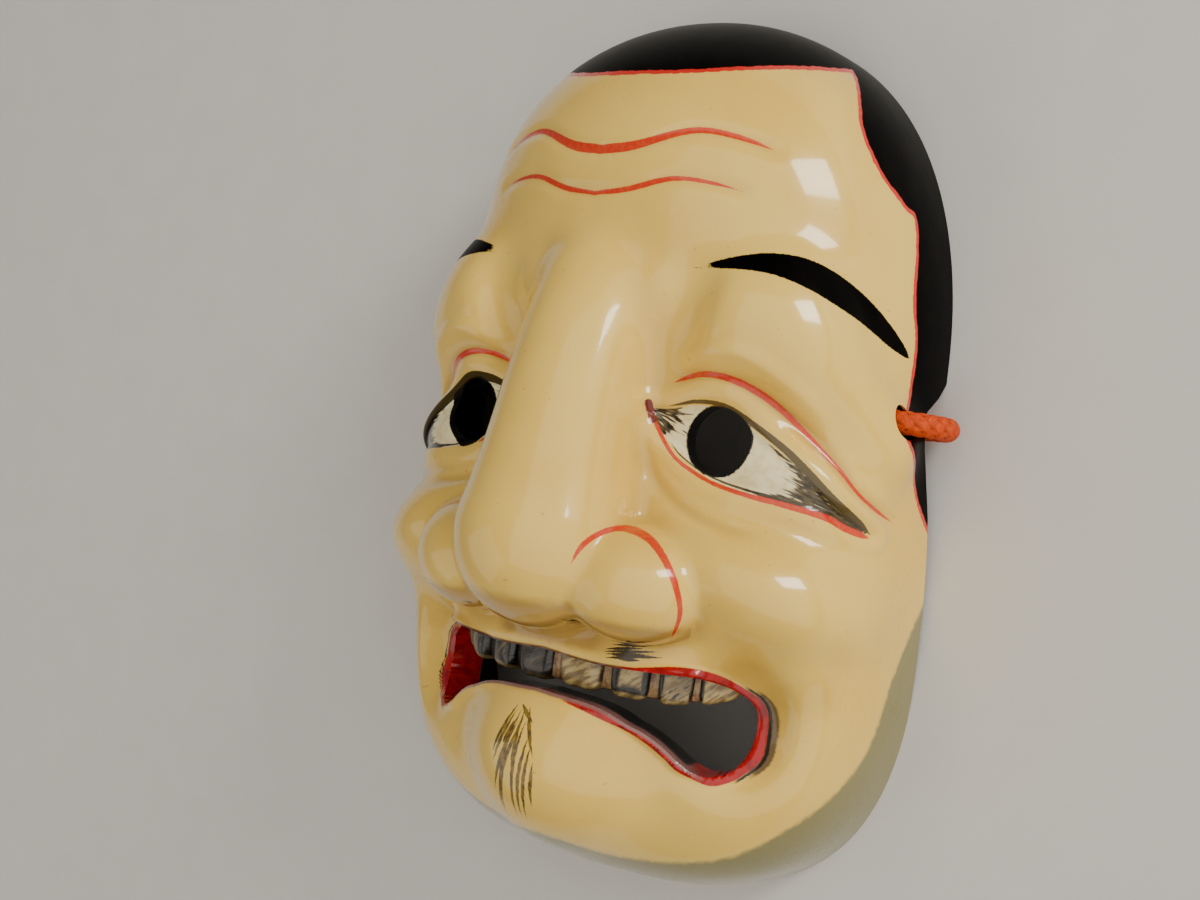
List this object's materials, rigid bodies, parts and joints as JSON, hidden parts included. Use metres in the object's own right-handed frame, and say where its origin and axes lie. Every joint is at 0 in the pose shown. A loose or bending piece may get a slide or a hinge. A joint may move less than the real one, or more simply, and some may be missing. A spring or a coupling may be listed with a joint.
{
  "type": "kagura mask",
  "caption": "Carved and lacquered kagura mask of a frowning old man with a wide open mouth, painted brows, hairline and teeth, and braided orange tie cords at the temples.",
  "frame": {"origin": "middle of the flat back rim, on the floor plane it lies on", "axes": "+X towards the right of someone who looks at the face, +Y towards the crown, +Z out of the face"},
  "size_m": [0.1624, 0.2311, 0.0876],
  "materials": {
    "lacquer": "thick gloss lacquer over carved wood",
    "cord": "braided silk-like cord, satin"
  },
  "bodies": {
    "root": {"mask": "lacquer", "right_cord_stop_knot": "cord", "right_cord_run": "cord", "right_cord_coil": "cord", "right_cord_end_knot": "cord", "left_cord_stop_knot": "cord", "left_cord_run": "cord", "left_cord_coil": "cord", "left_cord_end_knot": "cord"}
  },
  "joints": []
}
